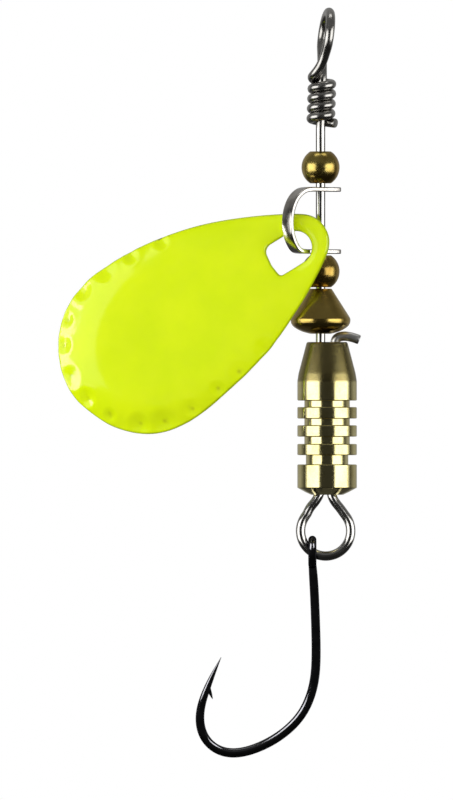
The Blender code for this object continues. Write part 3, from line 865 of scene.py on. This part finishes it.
# --- body -----------------------------------------------------------------------------------------
BODY_BORE = 1.12
BODY_TOP_R = 1.66
BODY_TAPER = 3.30
BODY_BORE_FLARE = (1.34, 0.25)   # radius at the bottom, and height of the flare
BODY_CHAMFER = (0.07, 0.05)
BODY_FOOT = [(2.20, 0.44, 0.15), (1.76, 0.20, 0.15), (1.40, 0.04, 0.04)]   # radius, height, rounding
# From and to, down from the top, and the radius of the floor:
BODY_GROOVES = [(4.92, 5.46, 1.91), (6.43, 6.99, 1.91), (7.95, 8.56, 1.91), (9.50, 10.28, 1.78)]


def body():
    """Turned weight: tapered top, four grooves with small chamfers, domed bottom, one wide bore."""
    low, high = box_mm("body")
    top = high.z
    r = (high.x - low.x) / 2
    axis = ((high.x + low.x) / 2, (high.y + low.y) / 2)
    flare_r, flare = BODY_BORE_FLARE
    cut_in, cut_down = BODY_CHAMFER
    profile = [(flare_r, low.z), (BODY_BORE, low.z + flare), (BODY_BORE, top)]
    profile += [(BODY_TOP_R, top, 0.05), (1.74, top - 0.12), (r - 0.10, top - BODY_TAPER + 0.65, 0.15),
                (r, top - BODY_TAPER, 0.08)]
    for start, end, floor_r in BODY_GROOVES:
        profile += [(r, top - start + cut_down, 0.03), (r - cut_in, top - start, 0.03),
                    (floor_r, top - start, 0.03), (floor_r, top - end, 0.03),
                    (r - cut_in, top - end, 0.03), (r, top - end - cut_down, 0.03)]
    profile += [(r, low.z + 0.60, 0.05)] + [(x, low.z + z, size) for x, z, size in BODY_FOOT]
    verts, faces = lathe(fillet(profile, 0.05, 3), 128, axis)
    stand_in(solid("body_form", verts, faces, brass, None, 35.0), "body")


# --- hook -----------------------------------------------------------------------------------------
HOOK_EYE_WIRE = 0.345
HOOK_EYE_R = 1.05
HOOK_ANGLE = math.radians(32.0)
HOOK_LINE = [
    (-0.68, -45.98, 0.335), (-0.665, -46.18, 0.345), (-0.63, -46.60, 0.360), (-0.56, -47.60, 0.375),
    (-0.49, -49.00, 0.375), (-0.40, -51.50, 0.380), (-0.37, -53.60, 0.385),
    (-0.46, -55.36, 0.385), (-0.80, -56.93, 0.390), (-1.45, -58.38, 0.395), (-2.40, -59.54, 0.400),
    (-3.60, -60.50, 0.400), (-5.00, -61.26, 0.400), (-6.50, -61.76, 0.400), (-7.90, -61.82, 0.395),
    (-9.10, -61.30, 0.385), (-9.90, -60.30, 0.380), (-10.17, -59.05, 0.370), (-10.04, -57.88, 0.345),
    (-9.72, -56.87, 0.310), (-9.32, -55.86, 0.250), (-8.87, -54.85, 0.150), (-8.35, -53.78, 0.020),
]
HOOK_STEP = 0.25
HOOK_EVENING = 10
BARB_ROOT = (-9.56, -56.05)
BARB_TIP = (-9.06, -57.30)
BARB_ROWS = [                  # share of the way from root to tip, radius, flatness
    (0.0, 0.20, 0.9), (0.35, 0.19, 0.8), (0.7, 0.12, 0.7), (0.9, 0.055, 0.7), (1.0, 0.012, 0.7),
]


def hook():
    """Hook from one wire: round eye, shank, bend, needle point and the cut barb."""
    line = np.array(spline([(x, 0.0, z, r) for x, z, r in HOOK_LINE], 8))
    line = smooth_line(even(line, HOOK_STEP), HOOK_EVENING)
    verts, faces, _ = tube([p[:3] for p in line], [p[3] for p in line], 32)
    piece = solid("hook_form", verts, faces, black)
    x = LOOP_CENTRE[0] - LOOP_R * math.sin(HOOK_ANGLE)
    z = LOOP_CENTRE[2] - LOOP_R * math.cos(HOOK_ANGLE)
    ring = []
    ring_faces = []
    turns = 72
    sides = 24
    for i in range(turns):
        a = 2 * math.pi * i / turns
        for k in range(sides):
            b = 2 * math.pi * (k + 0.5) / sides
            r = HOOK_EYE_R + HOOK_EYE_WIRE * math.cos(b)
            ring.append((x + HOOK_EYE_WIRE * math.sin(b), r * math.cos(a), z + r * math.sin(a)))
    for i in range(turns):
        j = (i + 1) % turns
        for k in range(sides):
            n = (k + 1) % sides
            ring_faces.append((i * sides + k, j * sides + k, j * sides + n, i * sides + n))
    combine(piece, solid("ring_tool", ring, ring_faces, black), "UNION")
    root = Vector((BARB_ROOT[0], 0.0, BARB_ROOT[1]))
    tip = Vector((BARB_TIP[0], 0.0, BARB_TIP[1]))
    share, radii, squash = zip(*BARB_ROWS)
    barb, barb_faces, _ = tube([root.lerp(tip, t) for t in share], radii, 16, squash)
    combine(piece, solid("barb_tool", barb, barb_faces, black), "UNION")
    stand_in(piece, "hook")


wire()
bead("upper_bead", "upper_bead_form", bronze)
bead("lower_bead", "lower_bead_form", brown)
cone()
clevis()
blade()
body()
hook()


# --- floor, light and camera ----------------------------------------------------------------------
AIM = Vector((-0.0079, 0.0, -0.03217))   # metres from here on
VIEW_HEIGHT = 0.0672
CAMERA_BACK = 1.5
FLOOR_DROP = 0.012
FLOOR_R = 0.50
FLOOR_FADE = (0.10, 0.34)
FLOOR_GLOW = 0.34
# Room seen in reflections: directions as parts of a unit vector, brightness ahead of and behind the lure.
BEHIND_Y = (0.15, 0.60)
OVER_Z = (0.30, 0.55)
UNDER_Z = (-0.45, -0.25)
ROOM_LEVEL = (0.035, 0.36)
ROOM_OVER = (0.14, 0.30)
ROOM_UNDER = (0.02, 0.06)
# Each light is: name, azimuth, elevation, distance, width, height, radiance. These are seen in
# reflections; EXCLUDE names the pieces that a light skips, INCLUDE the only one that it reaches.
SOFTBOXES = [
    (("softbox_left", -57.5, 0.0, 0.60, 0.61, 0.46, 2.4), "EXCLUDE", ("blade_form", "hook_form")),
    (("softbox_right", 57.5, 0.0, 0.60, 0.61, 0.46, 2.4), "EXCLUDE", ("hook_form",)),
    (("softbox_outer_left", -88.0, 0.0, 0.60, 0.10, 0.42, 0.6), "EXCLUDE", ("blade_form", "hook_form")),
    (("softbox_outer_right", 89.0, 0.0, 0.60, 0.12, 0.42, 0.8), "EXCLUDE", ("hook_form",)),
    (("softbox_blade", -76.0, 8.0, 0.60, 0.70, 0.62, 1.5), "INCLUDE", ("blade_form",)),
    (("glint_blade", -96.0, 0.0, 0.60, 0.18, 0.36, 6.0), "INCLUDE", ("blade_form",)),
    (("softbox_hook_left", -60.0, 34.0, 0.60, 0.36, 0.40, 7.0), "INCLUDE", ("hook_form",)),
    (("softbox_hook_right", 48.0, 42.0, 0.60, 0.24, 0.30, 7.0), "INCLUDE", ("hook_form",)),
    (("top_light", 0.0, 90.0, 0.60, 0.50, 0.14, 1.8), None, ()),
]
# These only brighten: they are not seen in reflections.
FILLS = [
    ("front_fill", -20.0, 0.0, 0.90, 1.20, 1.20, 1.42),
    ("low_fill", -30.0, -60.0, 0.90, 1.20, 1.20, 0.55),
    ("back_fill", 165.0, 20.0, 0.90, 1.20, 1.20, 1.1),
]


def floor():
    """Pale floor that fades into the white background."""
    bm = bmesh.new()
    bmesh.ops.create_circle(bm, cap_ends=True, segments=96, radius=FLOOR_R)
    mesh = bpy.data.meshes.new("floor")
    bm.to_mesh(mesh)
    bm.free()
    obj = bpy.data.objects.new("floor", mesh)
    obj.location = (AIM.x, 0.0, cad_low.z - FLOOR_DROP)
    bpy.context.scene.collection.objects.link(obj)
    mat = bpy.data.materials.new("floor_white")
    mat.use_nodes = True
    tree = mat.node_tree
    shader = tree.nodes["Principled BSDF"]
    shader.inputs["Base Color"].default_value = (0.90, 0.90, 0.90, 1.0)
    shader.inputs["Roughness"].default_value = 0.9
    shader.inputs["Specular IOR Level"].default_value = 0.1
    shader.inputs["Emission Color"].default_value = (1.0, 1.0, 1.0, 1.0)
    shader.inputs["Emission Strength"].default_value = FLOOR_GLOW
    where = coordinates(tree, "Object", (1.0, 1.0, 0.0))
    radius = add(tree, "VectorMath", {0: where}, operation="LENGTH").outputs["Value"]
    fade = remap(tree, radius, *FLOOR_FADE, 0.0, 1.0)
    clear = add(tree, "BsdfTransparent", {})
    blend = add(tree, "MixShader", {0: fade, 1: shader.outputs["BSDF"], 2: clear.outputs["BSDF"]})
    tree.links.new(blend.outputs["Shader"], tree.nodes["Material Output"].inputs["Surface"])
    mesh.materials.append(mat)
    obj.visible_glossy = False
    obj.visible_diffuse = False


def softbox(name, azimuth, elevation, distance, width, height, radiance):
    """Rectangular light that faces the lure; azimuth 0 is the camera's side, 90 the right."""
    data = bpy.data.lights.new(name, "AREA")
    data.shape = "RECTANGLE"
    data.size = width
    data.size_y = height
    data.energy = radiance * math.pi * width * height
    obj = bpy.data.objects.new(name, data)
    a = math.radians(azimuth)
    e = math.radians(elevation)
    away = Vector((math.sin(a) * math.cos(e), -math.cos(a) * math.cos(e), math.sin(e)))
    obj.location = AIM + away * distance
    obj.rotation_mode = "QUATERNION"
    obj.rotation_quaternion = away.to_track_quat("Z", "Y")
    obj.visible_camera = False
    bpy.context.scene.collection.objects.link(obj)
    return obj


def light_group(light, pieces, link):
    """The light reaches only those pieces (INCLUDE), or every piece but those (EXCLUDE)."""
    group = bpy.data.collections.new(light.name + "_pieces")
    for piece in pieces:
        group.objects.link(bpy.data.objects[piece])
    light.light_linking.receiver_collection = group
    for member in group.collection_objects:
        member.light_linking.link_state = link


def lights():
    """All the soft lights."""
    for numbers, link, pieces in SOFTBOXES:
        light = softbox(*numbers)
        if link:
            light_group(light, pieces, link)
    for numbers in FILLS:
        softbox(*numbers).visible_glossy = False


def two_greys(tree, factor, levels):
    """Grey that goes from the first level to the second."""
    return mix(tree, factor, (levels[0],) * 3, (levels[1],) * 3)


def surroundings():
    """Room round the lure: dark, paler in a ring behind at its own height; white background."""
    world = bpy.data.worlds.new("studio")
    bpy.context.scene.world = world
    world.use_nodes = True
    tree = world.node_tree
    background = tree.nodes["Background"]
    where = add(tree, "TexCoord", {}).outputs["Generated"]
    split = add(tree, "SeparateXYZ", {"Vector": where})
    behind = remap(tree, split.outputs["Y"], *BEHIND_Y, 0.0, 1.0)
    high = remap(tree, split.outputs["Z"], *OVER_Z, 0.0, 1.0)
    low = remap(tree, split.outputs["Z"], *UNDER_Z, 1.0, 0.0)
    level = two_greys(tree, behind, ROOM_LEVEL)
    over = two_greys(tree, behind, ROOM_OVER)
    under = two_greys(tree, behind, ROOM_UNDER)
    tree.links.new(mix(tree, low, mix(tree, high, level, over), under), background.inputs["Color"])
    white = add(tree, "Background", {"Color": (1.0, 1.0, 1.0, 1.0), "Strength": 1.0})
    seen = add(tree, "LightPath", {})
    blend = add(tree, "MixShader", {0: seen.outputs["Is Camera Ray"], 1: background.outputs["Background"],
                                    2: white.outputs["Background"]})
    tree.links.new(blend.outputs["Shader"], tree.nodes["World Output"].inputs["Surface"])


def camera():
    """Level long-lens camera in front of the lure."""
    data = bpy.data.cameras.new("camera")
    data.sensor_width = 36.0
    data.lens = data.sensor_width * CAMERA_BACK / VIEW_HEIGHT
    data.clip_start = 0.05
    data.clip_end = 20.0
    obj = bpy.data.objects.new("camera", data)
    obj.location = AIM + Vector((0.0, -CAMERA_BACK, 0.0))
    obj.rotation_mode = "QUATERNION"
    obj.rotation_quaternion = Vector((0.0, -1.0, 0.0)).to_track_quat("Z", "Y")
    bpy.context.scene.collection.objects.link(obj)
    bpy.context.scene.camera = obj


floor()
lights()
surroundings()
camera()
bpy.context.scene.view_settings.view_transform = "Standard"
